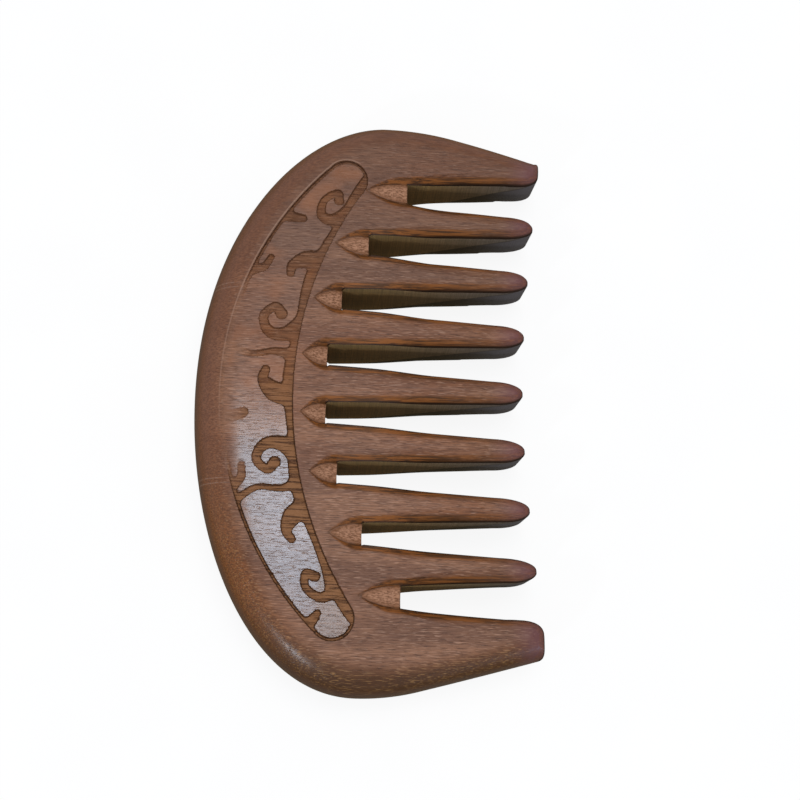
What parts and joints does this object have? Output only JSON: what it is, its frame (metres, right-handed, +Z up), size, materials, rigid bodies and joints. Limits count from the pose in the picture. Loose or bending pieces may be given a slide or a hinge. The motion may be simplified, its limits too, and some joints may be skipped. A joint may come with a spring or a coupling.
{
  "type": "wide tooth comb",
  "caption": "One-piece wooden wide tooth comb: half-moon back with a shallow carved crescent, tapering rounded teeth and a ramp leading into each slot.",
  "frame": {"origin": "middle of the bounding box, on the surface that the comb's back face lies on", "axes": "+Z up through the thickness, from the back face to the carved face; +X along the teeth, from the curved back to the tips; +Y along the comb's length"},
  "size_m": [0.0646, 0.1094, 0.0134],
  "materials": {
    "wood": "oiled and waxed, satin"
  },
  "bodies": {
    "root": {"comb": "wood"}
  },
  "joints": []
}
